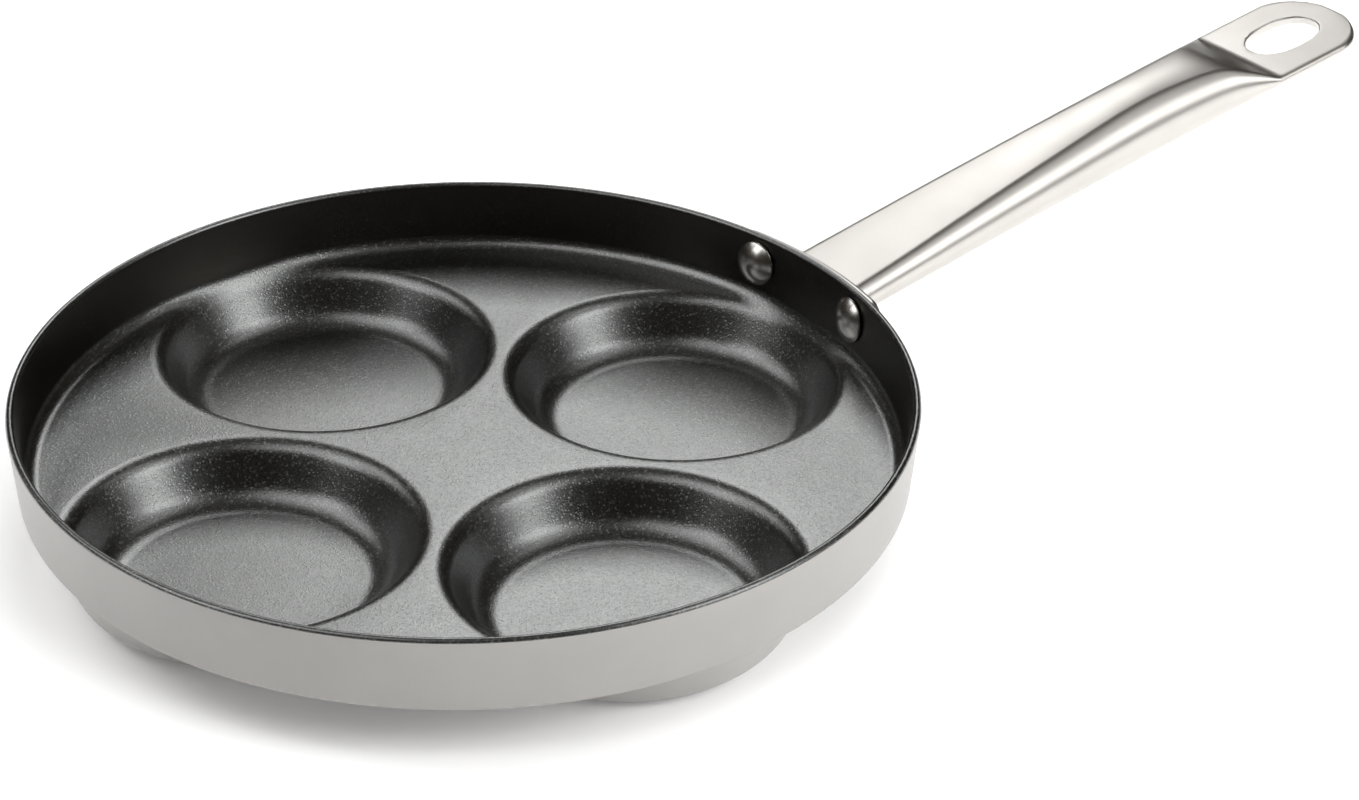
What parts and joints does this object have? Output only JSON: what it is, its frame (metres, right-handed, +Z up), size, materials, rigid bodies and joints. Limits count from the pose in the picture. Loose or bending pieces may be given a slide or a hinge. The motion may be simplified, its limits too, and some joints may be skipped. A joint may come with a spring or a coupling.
{
  "type": "four-cup pancake pan",
  "caption": "Round low-walled pan with shallow round cups pressed in its floor and a hollow oval steel handle riveted to its wall.",
  "frame": {"origin": "middle of the whole footprint, pan and handle, at the height of the table the pan stands on; the pan's axis is 103.15 mm from it towards -X", "axes": "+Z up, +X along the handle towards its tip"},
  "size_m": [0.4462, 0.24, 0.0593],
  "materials": {
    "pan_finish": "black non-stick coating with fine pale specks inside, smooth light grey lacquer outside",
    "handle_steel": "polished stainless steel",
    "bracket_steel": "satin stainless steel",
    "rivet_steel": "polished stainless steel"
  },
  "bodies": {
    "root": {"pan_body": "pan_finish", "handle_tube": "handle_steel", "handle_bracket": "bracket_steel", "rivet_left": "rivet_steel", "rivet_right": "rivet_steel"}
  },
  "joints": []
}
